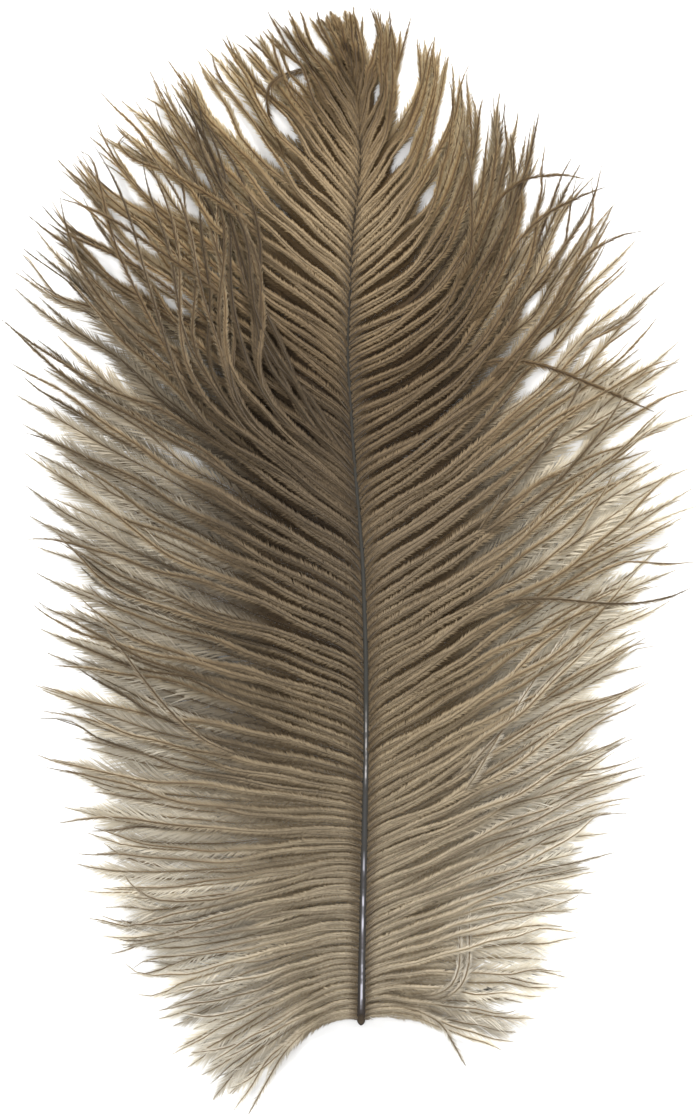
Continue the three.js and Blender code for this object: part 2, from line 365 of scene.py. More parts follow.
# Holes where the barbs have parted: side, middle (x, y from the cut end), length along the barbs, width
HOLES = [
    (-1, -20, 225, 17, 3.0), (-1, -10, 244, 12, 2.2), (-1, -16, 238, 14, 2.4), (-1, -34, 228, 12, 2.5),
    (-1, -28, 223, 34, 3.4), (-1, -53, 210, 22, 5.0), (-1, -45, 206, 18, 4.2), (-1, -56.5, 197, 20, 4.0),
    (-1, -60, 188, 24, 5.0), (-1, -62, 211, 22, 4.5), (-1, -71, 202, 20, 5.0), (-1, -75, 184, 16, 4.0),
    (-1, -68, 176, 16, 2.4), (-1, -46, 179, 14, 2.4), (-1, -62, 164, 22, 4.5), (-1, -42, 141, 15, 2.4),
    (-1, -73, 113, 12, 3.5), (-1, -77, 106, 10, 3.5), (-1, -73, 74, 12, 2.5), (-1, -72, 60, 10, 2.2),
    (-1, -69, 45, 14, 3.5), (-1, -58, 27, 9, 2.5), (-1, -53, 14, 9, 2.2), (-1, -51, 9, 9, 2.2),
    (1, 21, 228, 22, 2.8), (1, 9, 216, 10, 1.8), (1, 16, 206, 13, 2.5), (1, 4, 232, 12, 1.6),
    (1, 2.2, 247, 14, 3.0), (1, 12, 236, 26, 5.0), (1, 37, 228, 12, 2.0), (1, 28, 236, 12, 2.2),
    (1, 42, 208, 7, 2.4), (1, 49, 196, 16, 1.2), (1, 54, 205, 16, 2.4), (1, 42, 179, 10, 2.2),
    (1, 46, 170, 14, 3.0), (1, 57, 168, 16, 2.2), (1, 62, 168, 12, 2.2), (1, 51, 142, 13, 4.0),
    (1, 42, 159, 16, 3.0), (1, 60, 181, 12, 2.0), (1, 64, 146, 14, 2.0), (1, 65, 113, 15, 3.2),
    (1, 70, 106, 13, 2.6), (1, 70, 92, 13, 3.2), (1, 63, 84, 17, 2.8), (1, 60, 71, 14, 3.4),
    (1, 64, 67, 15, 2.6), (1, 60, 51, 10, 2.2), (1, 45, 22, 10, 2.2), (1, 44, 12, 10, 2.2),
    (1, 35, 5, 11, 2.0),
]
HOLE_REACH = 3.0
HOLE_CLEARANCE = 0.7
HOLE_TRIM = 0.7
HOLE_STRETCH = 0.62
HOLE_BLUNTNESS = 0.8

LOCK_NAMES = ["base", "lower", "middle", "upper", "shoulder", "swept", "crown", "tip"]
LEFT_LOCK_STARTS = [3, 21, 42, 70, 103, 134, 164, 196]
RIGHT_LOCK_STARTS = [3, 20, 42, 72, 102, 132, 158, 200]

# How pale the barbs are, from 0 to a little over 1, read by how far up the shaft they grow: further out, and
# near the shaft. The right vane is the paler one.
LEFT_TONES = [
    (0, 0.62), (30, 0.7), (60, 0.6), (85, 0.44), (105, 0.32), (140, 0.4), (156, 0.9), (182, 1.0),
    (205, 0.66), (244, 0.5),
]
RIGHT_TONES = [
    (0, 0.8), (45, 0.95), (62, 1.15), (108, 1.1), (130, 0.82), (144, 0.5), (156, 0.32), (172, 0.42),
    (190, 0.72), (215, 0.74), (244, 0.55),
]
LEFT_NEAR_TONES = [
    (0, 0.5), (60, 0.45), (110, 0.36), (124, 0.1), (150, 0.0), (166, 0.45), (185, 0.95), (210, 1.0),
    (226, 0.6), (244, 0.45),
]
RIGHT_NEAR_TONES = [
    (0, 0.42), (50, 0.5), (75, 0.62), (110, 0.64), (155, 0.56), (168, 0.82), (185, 1.0), (212, 1.0),
    (228, 0.6), (244, 0.45),
]

# The barbs grow in two ranks. The upper rank shows as pale cords with dark gaps between them, and the lower
# rank lies in those gaps. Further out the two ranks mix. Pairs are read by how far up the shaft a barb grows.
BARB_STEPS = 40
FIRST_UPPER_BARB = 2.4
FIRST_LOWER_BARB = 3.3
LAST_BARB_GAP = 1.0
SPACING_SCATTER = (0.8, 1.2)
UPPER_SPACING = [
    (0, 1.5), (40, 1.65), (62, 2.2), (90, 2.55), (150, 2.7), (180, 2.3), (210, 1.8), (244, 1.5),
]
LOWER_SPACING = [(0, 1.4), (30, 1.5), (100, 1.6), (130, 1.6), (180, 1.5), (244, 1.45)]
BUNCH_SPREADS = [(0, 1.0), (30, 0.5), (110, 0.5), (140, 1.1), (244, 1.2)]
CORD_SIZES = [1, 1, 1, 2]
CLUMP_SIZES = [2, 3, 3, 4, 5]
CLUMPED_FROM = 128
BUNCH_PULLS = [(0, 0.5), (110, 0.5), (135, 0.66), (244, 0.66)]
GATHER_STARTS = [(0, 0.45), (110, 0.45), (140, 0.3), (244, 0.3)]
GATHER_ENDS = [(0, 0.9), (110, 0.9), (140, 0.85), (244, 0.85)]
UPPER_SHARES = [(0, 1.05), (110, 1.06), (145, 1.06), (244, 1.06)]
LOWER_SHARES = [(0, 0.95), (85, 0.97), (125, 0.96), (244, 0.94)]
UPPER_SHARE_SCATTER = (0.82, 1.0)
LOWER_SHARE_SCATTER = (0.9, 1.08)
CROSSING_SHARE = 0.3
CROSSING_MIDDLE_TURNS = (-1, 5)
CROSSING_TIP_TURNS = (0, 24)
CROSSING_LIFT = 1.3
CROSSING_LIFT_SPAN = (0.35, 0.6)
LOWER_EVENNESS = 11
USUAL_GAP = 2.2
LOWER_FREEDOM = [(0, 0.4), (110, 0.4), (135, 0.8), (244, 0.8)]
UPPER_LIFT = 0.45
LOWER_DROP = -1.7
ROOT_HOOK = 26
ROOT_HOOK_REACH = 3.0
LOWEST_ROOT = 1.5
ROOT_DEPTH = 0.75

# How far the barbs stray from the usual ones: slopes and sways in degrees, and the rest as shares. Each vane
# has its own seed for this.
LEFT_SEED = 1176
RIGHT_SEED = 3
ROOT_SCATTER = 1.6
MIDDLE_SCATTER = 1.4
TIP_SCATTER = 12.0
TIP_LEANING = 4.5
SLOW_SWAY = 6.0
QUICK_SWAY = 4.5
PULL_SCATTER = 0.2
MOST_PULL = 0.95
FREED_TIPS = 0.35
TONE_SCATTER = 0.2

# Barbules. Each one leaves the barb at its near slope, turns to its far slope at its waist, and droops. Pairs
# run from the barb's root to its tip, but the trims are read by how far up the shaft the barb grows.
UPPER_BARBULE_SPACING = 0.155
LOWER_BARBULE_SPACING = 0.224
UPPER_CROWDING = [(0, 0), (0.6, 0.52), (1, 1)]
LOWER_CROWDING = [(0, 0), (0.55, 0.4), (1, 1)]
UPPER_BARBULES = [
    (0, 1.4), (0.04, 1.8), (0.1, 2.1), (0.35, 2.3), (0.5, 2.5), (0.7, 2.8), (0.88, 2.3), (0.96, 1.3),
    (1, 0.4),
]
LOWER_BARBULES = [
    (0, 1.2), (0.04, 2.0), (0.3, 2.8), (0.45, 4.4), (0.7, 6.2), (0.86, 4.6), (0.94, 2.2), (1, 0.5),
]
UPPER_TRIMS = [(0, 0.72), (40, 0.76), (65, 1.0), (110, 1.0), (150, 0.8), (190, 0.68), (244, 0.68)]
LOWER_TRIMS = [(0, 1.0), (120, 1.0), (145, 0.84), (220, 0.74), (244, 0.45)]
NEAR_SLOPES = [(0, 62), (0.06, 50), (0.2, 44), (0.45, 28), (0.65, 16), (0.9, 12), (1, 6)]
UPPER_SLOPES = [(0, 44), (0.2, 42), (0.45, 32), (0.65, 22), (0.9, 13), (1, 5)]
LOWER_SLOPES = [(0, 40), (0.2, 36), (0.45, 30), (0.65, 27), (0.9, 19), (1, 8)]
WAISTS = [(0, 0.5), (0.4, 0.45), (0.65, 0.36), (1, 0.34)]
UPPER_DROOP = [(0, 20), (0.03, 34), (0.08, 50), (0.3, 48), (0.5, 32), (0.7, 14), (1, 6)]
LOWER_DROOP = [(0, 30), (0.25, 24), (0.5, 18), (0.7, 10), (1, 6)]
UPPER_WIDTHS = [(0, 0.2), (0.3, 0.2), (0.5, 0.18), (0.7, 0.17), (0.9, 0.14), (1, 0.08)]
LOWER_WIDTHS = [(0, 0.31), (0.3, 0.3), (0.5, 0.25), (0.7, 0.22), (0.9, 0.18), (1, 0.1)]

# The barbs' own filaments, and the heights of the barbs above the surface, in millimetres from root to tip
RAMUS_RADII = [(0, 0.18), (0.1, 0.13), (0.4, 0.14), (0.6, 0.2), (0.85, 0.19), (1, 0.06)]
ARCH_HEIGHTS = [(0, 0.3), (0.06, 0.9), (0.22, 2.4), (0.45, 1.6), (0.75, -0.6), (1, -1.8)]
SETTLED_HEIGHT = 0.9
FULL_ARCH_LENGTH = 70          # barbs at least this long arch to the full heights
HEIGHT_SCATTER = 0.4
UPPER_RISE = 1.6               # the most that an upper barb rises over its neighbours further out
CURLED_SHARE = 0.12
CURL_HEIGHTS = (1, 4)
LOWEST_BARB = 0.35
LOWEST_POINT = 0.04            # of any barb or barbule

# How far the barbules stray from the usual ones: angles in degrees, and the rest as shares
BARB_ROLL = 14
BARB_TWIST = 24
BARB_MOTTLE = 0.1
REACH_SCATTER = 0.16
FAN_SCATTER = 5
DROOP_SCATTER = 9
WIDTH_SCATTER = (0.75, 1.2)
SHADE_SCATTER = 0.12
LOWER_SHADE_SHARE = 0.4
NEAR_DROOP = 0.35
NEAR_SHADE_HOLD = 0.15
FEWEST_BARBULES = 8

along = np.linspace(0, 1, BARB_STEPS)


def lead(leaders, up, evenness):
    """Slopes and length of the barbs at these distances up the shaft, read between the leading barbs and
    averaged over their neighbours for as far as the evenness says."""
    table = np.array(leaders, float)
    columns = []
    for column in range(1, 5):
        readings = [
            np.interp(up + evenness * offset, table[:, 0], table[:, column])
            for offset in np.linspace(-1, 1, 7)
        ]
        columns.append(np.mean(readings, axis=0))
    return columns


def wander(count, least_waves, most_waves):
    """A slow wave along each barb, between -1 and 1, with its own start and pace."""
    start = dice.uniform(0, 2 * np.pi, count)[:, None]
    pace = dice.uniform(least_waves, most_waves, count)[:, None]
    return np.sin(start + 2 * np.pi * pace * along)


def draw_barbs(side, up, root_slope, middle_slope, tip_slope, length, sway):
    """The plan of each barb, a row of points from its root to its tip."""
    bend = 2 * (root_slope + tip_slope - 2 * middle_slope)
    turn = tip_slope - root_slope - bend
    slopes = root_slope[:, None] + turn[:, None] * along + bend[:, None] * along ** 2
    distance = length[:, None] * along
    slopes = slopes + ROOT_HOOK * np.exp(-distance / ROOT_HOOK_REACH) + sway
    slopes = np.radians(slopes)
    step = (length / (BARB_STEPS - 1))[:, None]
    across = np.cumsum(np.cos(slopes) * step, axis=1) - np.cos(slopes) * step
    upward = np.cumsum(np.sin(slopes) * step, axis=1) - np.sin(slopes) * step
    root_up = np.maximum(up - math.radians(ROOT_HOOK) * ROOT_HOOK_REACH, LOWEST_ROOT)
    start = shaft_x(root_up) + side * shaft_radius(root_up) * ROOT_DEPTH
    return np.stack([start[:, None] + side * across, root_up[:, None] + upward], axis=-1)


def unit(vectors):
    return vectors / np.maximum(np.linalg.norm(vectors, axis=-1, keepdims=True), 1e-9)


def ease(low, high, values):
    share = np.clip((values - low) / (high - low), 0, 1)
    return share * share * (3 - 2 * share)


def gather(plans, bunches, up, pull):
    """Draws the barbs of each bunch together into one cord, and frees their tips a little."""
    middles = np.zeros_like(plans)
    for bunch in np.unique(bunches):
        members = bunches == bunch
        middles[members] = plans[members].mean(axis=0)
    starts, ends = read_at(GATHER_STARTS, up)[:, None], read_at(GATHER_ENDS, up)[:, None]
    closeness = ease(starts, ends, along[None, :]) * (1 - FREED_TIPS * ease(0.75, 1, along))
    return plans + (middles - plans) * (pull[:, None] * closeness)[..., None]


def bunch_numbers(count, sizes):
    """Numbers neighbours alike in bunches of random sizes."""
    numbers = []
    while len(numbers) < count:
        numbers += [len(numbers)] * int(dice.choice(sizes))
    return np.array(numbers[:count])


def part(plans, side):
    """Opens the holes: the barbs beside each one are pushed off it, and their barbules cling closer."""
    moved = plans.copy()
    trims = np.ones(plans.shape[:2])
    ahead = unit(np.gradient(plans, axis=1))
    above = side * np.stack([-ahead[..., 1], ahead[..., 0]], axis=-1)
    barbs = np.arange(len(plans))
    for hole_side, x, y, length, width in HOLES:
        if hole_side != side:
            continue
        offset = plans - (x, y)
        nearest = np.argmin(np.linalg.norm(offset, axis=-1), axis=1)
        miss = np.sum(offset[barbs, nearest] * above[barbs, nearest], axis=-1)
        lengthwise = np.sum(offset * ahead[barbs, nearest][:, None], axis=-1)
        swell = np.clip(1 - np.abs(lengthwise) / (HOLE_STRETCH * length), 0, 1) ** HOLE_BLUNTNESS
        nearness = np.exp(-np.abs(miss) / HOLE_REACH)
        push = 0.5 * (width + HOLE_CLEARANCE) * np.sign(miss) * nearness
        moved += above * (push[:, None] * swell)[..., None]
        trims = np.minimum(trims, 1 - HOLE_TRIM * nearness[:, None] * swell)
    return moved, trims


def spread_reach(plans, up, is_lower):
    """How much longer the lower rank's barbules are where its barbs spread apart, to close the vane."""
    reach = np.ones(plans.shape[:2])
    closed = is_lower & (up < CLUMPED_FROM)
    barbs = plans[closed]
    ahead = unit(np.gradient(barbs, axis=1))
    step = np.diff(barbs, axis=0)
    gaps = np.abs(step[..., 0] * ahead[:-1, :, 1] - step[..., 1] * ahead[:-1, :, 0])
    widest_gap = np.maximum(np.vstack([gaps[:1], gaps]), np.vstack([gaps, gaps[-1:]]))
    reach[closed] = 1 + (np.clip(widest_gap / USUAL_GAP, 0.85, 1.9) - 1) * (1 - ease(0.72, 0.95, along))
    return reach


def raise_barbs(plans, up, length, is_lower, lift, lift_span):
    """Gives the barbs their heights: they arch up off the shaft and settle on the surface further out."""
    count = len(plans)
    size = np.clip(length / FULL_ARCH_LENGTH, 0.25, 1)
    arch = read_at(ARCH_HEIGHTS, along)[None, :] * size[:, None]
    settle = ease(0.45, 1.0, along)[None, :]
    heights = (shaft_z(up)[:, None] + arch) * (1 - settle) + SETTLED_HEIGHT * settle
    rank_lift = np.where(is_lower, LOWER_DROP, UPPER_LIFT)[:, None]
    heights += rank_lift * ease(0, 0.1, along) * (1 - 0.4 * ease(0.4, 0.8, along))
    heights += dice.normal(0, HEIGHT_SCATTER, count)[:, None] * ease(0, 0.25, along)
    rise = np.where(is_lower, 0, dice.uniform(0, UPPER_RISE, count))
    heights += rise[:, None] * ease(0.3, 0.7, along)
    heights += lift * ease(*lift_span, along)
    curl = np.where(dice.random(count) < CURLED_SHARE, dice.uniform(*CURL_HEIGHTS, count), 0)
    heights += curl[:, None] * ease(0.7, 1, along)
    return np.concatenate([plans, np.clip(heights, LOWEST_BARB, None)[..., None]], axis=-1)


def vane(side, leaders, up, is_lower, usual_tones):
    """Every barb of a vane as rows of points in three dimensions, in millimetres from the cut end."""
    count = len(up)
    root_slope, middle_slope, tip_slope, length = lead(leaders, up, np.where(is_lower, LOWER_EVENNESS, 0))
    cords = ~is_lower & (up < CLUMPED_FROM)
    clumps = up >= CLUMPED_FROM
    bunches = np.arange(count) + 2 * count
    bunches[cords] = bunch_numbers(int(cords.sum()), CORD_SIZES)
    bunches[clumps] = bunch_numbers(int(clumps.sum()), CLUMP_SIZES) + count
    crossing = ~is_lower & (dice.random(count) < CROSSING_SHARE)
    bunches[crossing] = np.flatnonzero(crossing) + 3 * count
    leaning = dice.normal(0, 1, 4 * count)[bunches]
    turning = dice.normal(0, 1, 4 * count)[bunches]
    freedom = np.where(is_lower, read_at(LOWER_FREEDOM, up), 1.0)
    spread = read_at(BUNCH_SPREADS, up)
    root_slope = root_slope + dice.normal(0, ROOT_SCATTER, count) * freedom
    middle_slope = middle_slope + (spread * leaning + dice.normal(0, MIDDLE_SCATTER, count)) * freedom
    tip_turn = spread * turning * TIP_LEANING + dice.normal(0, TIP_SCATTER, count)
    tip_slope = tip_slope + tip_turn * freedom
    middle_slope = middle_slope + np.where(crossing, dice.uniform(*CROSSING_MIDDLE_TURNS, count), 0)
    tip_slope = tip_slope + np.where(crossing, dice.uniform(*CROSSING_TIP_TURNS, count), 0)
    lower_shares = read_at(LOWER_SHARES, up) * dice.uniform(*LOWER_SHARE_SCATTER, count)
    upper_shares = read_at(UPPER_SHARES, up) * dice.uniform(*UPPER_SHARE_SCATTER, count)
    length = length * np.where(is_lower, lower_shares, upper_shares)
    slow_sway = wander(count, 0.8, 1.8) * SLOW_SWAY * ease(0.05, 0.6, along)
    sway = slow_sway + wander(count, 2.5, 5) * QUICK_SWAY * ease(0, 0.2, along)
    plans = draw_barbs(side, up, root_slope, middle_slope, tip_slope, length, sway * freedom[:, None])
    pull = np.clip(read_at(BUNCH_PULLS, up) + dice.normal(0, PULL_SCATTER, count), 0, MOST_PULL)
    plans, trims = part(gather(plans, bunches, up, pull), side)
    thinned = np.where(is_lower, 1 - read_at(LOWER_TRIMS, up), 0)[:, None]
    trims = trims * (1 - thinned * ease(0.3, 0.6, along))
    clinging = np.where(is_lower, 0, 1 - read_at(UPPER_TRIMS, up))[:, None]
    trims = trims * (1 - clinging * (1 - ease(0.3, 0.55, along)))
    trims = trims * spread_reach(plans, up, is_lower)
    lift = np.where(crossing, CROSSING_LIFT, 0)[:, None]
    rows = raise_barbs(plans, up, length, is_lower, lift, CROSSING_LIFT_SPAN)
    return rows, trims, dice.normal(read_at(usual_tones, up), TONE_SCATTER)


def follow(points):
    """A smooth path through these points, in even steps, with its two ends kept."""
    points = np.array(points, float)
    chords = np.concatenate([[0], np.cumsum(np.linalg.norm(np.diff(points, axis=0), axis=1))])
    places = along * chords[-1]
    reach = np.minimum(np.minimum(places, chords[-1] - places), chords[-1] * 0.09)
    readings = []
    for offset in np.linspace(-1, 1, 9):
        spots = places + reach * offset
        readings.append(np.stack([np.interp(spots, chords, points[:, axis]) for axis in (0, 1)], axis=-1))
    return np.mean(readings, axis=0)


# How the loose barbs lie: how far their barbules reach, how high they are lifted and over which stretch,
# whether they start as low as the lower rank, and how pale they are.
STRAY_LIE = dict(trim=1.0, lift=4.6, lift_span=(0.35, 0.5), starts_low=True, tone=0.4, tone_spread=0.1)
SWEPT_LIE = dict(trim=0.7, lift=2.7, lift_span=(0.1, 0.4), starts_low=False, tone=0.2, tone_spread=0.34)


def loose_barbs(plans, trim, lift, lift_span, starts_low, tone, tone_spread):
    """Barbs with paths of their own, lying on top of the vane."""
    plans = np.array(plans)
    up = np.clip(plans[:, 0, 1], 0.5, SHAFT_LENGTH - 1)
    length = np.linalg.norm(np.diff(plans, axis=1), axis=-1).sum(axis=1)
    rows = raise_barbs(plans, up, length, np.full(len(up), starts_low), lift, lift_span)
    return rows, np.full(rows.shape[:2], trim), up, dice.normal(tone, tone_spread, len(up))


def swept_bundle():
    """The swept barbs: each lies part-way between two of the paths, wanders a little and stops short."""
    paths = np.array([follow(path) for path in SWEPT_PATHS])
    places = np.linspace(SWEPT_INSET, len(paths) - 1 - SWEPT_INSET, SWEPT_BARBS)
    places = places + dice.uniform(*SWEPT_SCATTER, SWEPT_BARBS)
    before = places.astype(int)
    share = (places - before)[:, None, None]
    plans = paths[before] * (1 - share) + paths[before + 1] * share
    steps = np.arange(BARB_STEPS)
    for k, plan in enumerate(plans.copy()):
        spots = along * dice.uniform(*SWEPT_SHARES) * (BARB_STEPS - 1)
        plans[k] = np.stack([np.interp(spots, steps, plan[:, axis]) for axis in (0, 1)], axis=-1)
    ahead = unit(np.gradient(plans, axis=1))
    sideways = np.stack([-ahead[..., 1], ahead[..., 0]], axis=-1)
    drift = wander(SWEPT_BARBS, 0.7, 1.6) * SWEPT_DRIFT + wander(SWEPT_BARBS, 2, 4) * SWEPT_WAVE
    return plans + sideways * (drift * ease(0.03, 0.3, along))[..., None]


def read_rows(rows, place, barb):
    """Points part-way along the rows: barb says which row, and place how far along it."""
    spot = place * (BARB_STEPS - 1)
    before = np.minimum(spot.astype(int), BARB_STEPS - 2)
    share = (spot - before)[:, None]
    return rows[barb, before] * (1 - share) + rows[barb, before + 1] * share


def by_rank(is_lower, upper_pairs, lower_pairs, place):
    return np.where(is_lower, read_at(lower_pairs, place), read_at(upper_pairs, place))


def barbule_blades(rows, trims, is_lower, tones, near_tones):
    """Barbules for all these barbs: each is a thin blade, bent at its waist and pointed at both ends."""
    ahead_rows = unit(np.gradient(rows, axis=1))
    lengths = np.linalg.norm(np.diff(rows, axis=1), axis=-1).sum(axis=1)
    rolls = dice.normal(0, BARB_ROLL, (len(rows), 1)) + wander(len(rows), 0.5, 1.5) * BARB_TWIST * along
    rolls = np.radians(rolls)
    mottle = wander(len(rows), 2, 6) * BARB_MOTTLE
    spacing = np.where(is_lower, LOWER_BARBULE_SPACING, UPPER_BARBULE_SPACING)
    counts = np.maximum((lengths / spacing).astype(int), FEWEST_BARBULES)
    barb = np.repeat(np.arange(len(rows)), counts)
    order = np.arange(len(barb)) - np.repeat(np.cumsum(counts) - counts, counts)
    place = (order + dice.uniform(0.1, 0.9, len(barb))) / counts[barb]
    lower = is_lower[barb]
    place = np.clip(by_rank(lower, UPPER_CROWDING, LOWER_CROWDING, place), 0, 0.999)
    root = read_rows(rows, place, barb)
    ahead = unit(read_rows(ahead_rows, place, barb))
    aside = unit(np.cross(np.array([0.0, 0, 1]), ahead))
    over = np.cross(ahead, aside)
    roll = read_rows(rolls[..., None], place, barb)
    aside, over = aside * np.cos(roll) + over * np.sin(roll), over * np.cos(roll) - aside * np.sin(roll)
    far_share = NEAR_SHADE_HOLD + (1 - NEAR_SHADE_HOLD) * ease(0.12, 0.55, place)
    tone = near_tones[barb] + (tones - near_tones)[barb] * far_share
    tone = tone + read_rows(mottle[..., None], place, barb)[:, 0]
    full_droop = by_rank(lower, UPPER_DROOP, LOWER_DROOP, place)
    full_reach = by_rank(lower, UPPER_BARBULES, LOWER_BARBULES, place)
    trim = read_rows(trims[..., None], place, barb)[:, 0]
    full_reach = full_reach * trim
    full_width = by_rank(lower, UPPER_WIDTHS, LOWER_WIDTHS, place) * np.maximum(trim, 1)
    waist = read_at(WAISTS, place)[:, None]
    blades, outs, places, shades, barbs = [], [], [], [], []
    for hand in (-1, 1):
        reach = (full_reach * dice.normal(1, REACH_SCATTER, len(barb)))[:, None]
        fan = dice.normal(0, FAN_SCATTER, len(barb))
        near_slope = np.radians(read_at(NEAR_SLOPES, place) + fan)[:, None]
        far_slope = np.radians(by_rank(lower, UPPER_SLOPES, LOWER_SLOPES, place) + fan)[:, None]
        droop = np.radians(full_droop + dice.normal(0, DROOP_SCATTER, len(barb)))[:, None]
        width = (full_width * dice.uniform(*WIDTH_SCATTER, len(barb)))[:, None]
        near_way = ahead * np.cos(near_slope) + hand * aside * np.sin(near_slope)
        near_way = near_way * np.cos(droop * NEAR_DROOP) - over * np.sin(droop * NEAR_DROOP)
        far_way = ahead * np.cos(far_slope) + hand * aside * np.sin(far_slope)
        far_way = far_way * np.cos(droop) - over * np.sin(droop)
        middle = root + near_way * reach * waist
        tip = middle + far_way * reach * (1 - waist)
        broad = unit(np.cross(over, near_way)) * width * 0.5
        blades.append(np.stack([root, middle - broad, tip, middle + broad], axis=1))
        outs.append(np.tile([0.0, 0.5, 1.0, 0.5], (len(barb), 1)) * hand)
        places.append(place)
        shades.append(tone + dice.normal(0, SHADE_SCATTER, len(barb)) * np.where(lower, LOWER_SHADE_SHARE, 1))
        barbs.append(barb)
    blades = np.concatenate(blades)
    blades[..., 2] = np.maximum(blades[..., 2], LOWEST_POINT)
    return blades, np.concatenate(outs), np.concatenate(places), np.concatenate(shades), np.concatenate(barbs)


RAMUS_SIDES = 3
RAMUS_RINGS = 17
ramus_picks = np.round(np.linspace(0, BARB_STEPS - 1, RAMUS_RINGS)).astype(int)


def ramus_tubes(rows):
    """The barbs' own filaments: three-sided tapering tubes, pointed at the tip."""
    rows = rows[:, ramus_picks]
    ahead = unit(np.gradient(rows, axis=1))
    aside = unit(np.cross(np.array([0.0, 0, 1]), ahead))
    over = np.cross(ahead, aside)
    radius = read_at(RAMUS_RADII, along[ramus_picks])[None, :, None]
    corners = []
    for k in range(RAMUS_SIDES):
        turn = 2 * np.pi * k / RAMUS_SIDES + np.pi / 2
        corners.append(rows + radius * (aside * np.cos(turn) + over * np.sin(turn)))
    points = np.stack(corners, axis=2)
    points[..., 2] = np.maximum(points[..., 2], LOWEST_POINT)
    faces = []
    for row in range(RAMUS_RINGS - 1):
        for k in range(RAMUS_SIDES):
            turn = (k + 1) % RAMUS_SIDES
            low, high = row * RAMUS_SIDES, (row + 1) * RAMUS_SIDES
            faces.append((low + k, low + turn, high + turn))
            faces.append((low + k, high + turn, high + k))
    last = (RAMUS_RINGS - 1) * RAMUS_SIDES
    faces.append((0, 2, 1))
    faces.append((last, last + 1, last + 2))
    faces = np.array(faces)[None] + (np.arange(len(rows)) * RAMUS_RINGS * RAMUS_SIDES)[:, None, None]
    return points.reshape(-1, 3), faces.reshape(-1, 3)


def make_lock(name, rows, trims, up, is_lower, tones, near_tones, down_finish):
    """One lock: the filaments and barbules of its barbs, joined in one mesh."""
    tube_points, tube_faces = ramus_tubes(rows)
    blades, outs, places, shades, barbs = barbule_blades(rows, trims, is_lower, tones, near_tones)
    blade_points = blades.reshape(-1, 3)
    starts = np.arange(len(blades))[:, None] * 4 + len(tube_points)
    blade_faces = np.concatenate([starts + [0, 1, 3], starts + [1, 2, 3]])
    piece = mesh_object(name, np.vstack([tube_points, blade_points]), np.vstack([tube_faces, blade_faces]))
    tube_along = np.tile(np.repeat(along[ramus_picks], RAMUS_SIDES), len(rows))
    tube_barb = np.repeat(np.arange(len(rows)), RAMUS_RINGS * RAMUS_SIDES)
    along_all = np.concatenate([tube_along, np.repeat(places, 4)])
    out_all = np.concatenate([np.zeros(len(tube_points)), outs.ravel()])
    barb_all = np.concatenate([tube_barb, np.repeat(barbs, 4)])
    keep_attribute(piece, "along", along_all)
    keep_attribute(piece, "out", np.abs(out_all))
    keep_attribute(piece, "shade", np.concatenate([tones[tube_barb], np.repeat(shades, 4)]))
    keep_attribute(piece, "lower", is_lower[barb_all])
    keep_attribute(piece, "up", up[barb_all] / SHAFT_LENGTH)
    flat = piece.data.uv_layers.new(name="OFBake")
    corner_points = np.empty(len(piece.data.loops), dtype=np.int32)
    piece.data.loops.foreach_get("vertex_index", corner_points)
    across = (barb_all + 0.5 + 0.45 * out_all) / len(rows)
    spots = np.column_stack([across, along_all])[corner_points]
    flat.data.foreach_set("uv", spots.astype(np.float32).ravel())
    piece.data.materials.append(down_finish)
    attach(piece, "root")
    return piece


down, node, link = new_material("grey_brown_down")
along_read, out_read, shade_read, lower_read, up_read = (
    node("ShaderNodeAttribute", attribute_name=name) for name in ("along", "out", "shade", "lower", "up")
)
# Painted light and shade near the shaft: each barbule is pale near its barb, where the cords' tops catch the
# light, and dark brown at its tip, where the gaps between the cords lie in shade. The second ramp paints the
# same, paler, for the barbs near the quill end.
near_ridge_light_gap_shade = ramp(node, [
    (0.0, (168, 152, 128)), (0.35, (184, 169, 145)), (0.7, (138, 120, 93)), (1.0, (84, 67, 45)),
])
pale_near_ridge_light_gap_shade = ramp(node, [
    (0.0, (202, 188, 164)), (0.35, (212, 200, 178)), (0.7, (184, 168, 140)), (1.0, (140, 122, 92)),
])
# Painted shade: the lower rank, which lies in the shaded gaps between the cords, is coloured dark brown. Near
# the quill end only a little of this shade is painted.
under_rank_shade_colours = ramp(node, [(0.0, (106, 88, 60)), (1.0, (88, 72, 50))])
far_colours = ramp(node, [
    (0.0, (122, 100, 70)), (0.4, (150, 130, 100)), (0.7, (190, 175, 148)), (1.0, (230, 222, 206)),
])
veil_colours = ramp(node, [
    (0.0, (138, 118, 90)), (0.2, (180, 166, 142)), (0.45, (208, 198, 178)), (1.0, (236, 230, 216)),
])
base_colours = ramp(node, [
    (0.0, (156, 137, 108)), (0.2, (206, 194, 170)), (0.45, (236, 229, 214)), (1.0, (252, 250, 242)),
])
base_share = share_between(node, (0.04, 0.36), (1.0, 0.0))
base_mix = node("ShaderNodeMix", data_type="RGBA")
base_to_tip = share_between(node, (0.05, 0.42), (0.1, 1.0))
under_rank_shade_share = node("ShaderNodeMath", operation="MULTIPLY")
paleness = share_between(node, (0.04, 0.32), (0.85, 0.0))
veil_share = node("ShaderNodeMath", operation="ADD", use_clamp=True)
under_rank_shade_mix = node("ShaderNodeMix", data_type="RGBA")
pale_mix = node("ShaderNodeMix", data_type="RGBA")
veil_mix = node("ShaderNodeMix", data_type="RGBA")
change_over = share_between(node, (0.4, 0.8), (0.66, 0.6))
near_to_far = share_between(node, (0.26, 1.0))
reach_mix = node("ShaderNodeMix", data_type="RGBA")
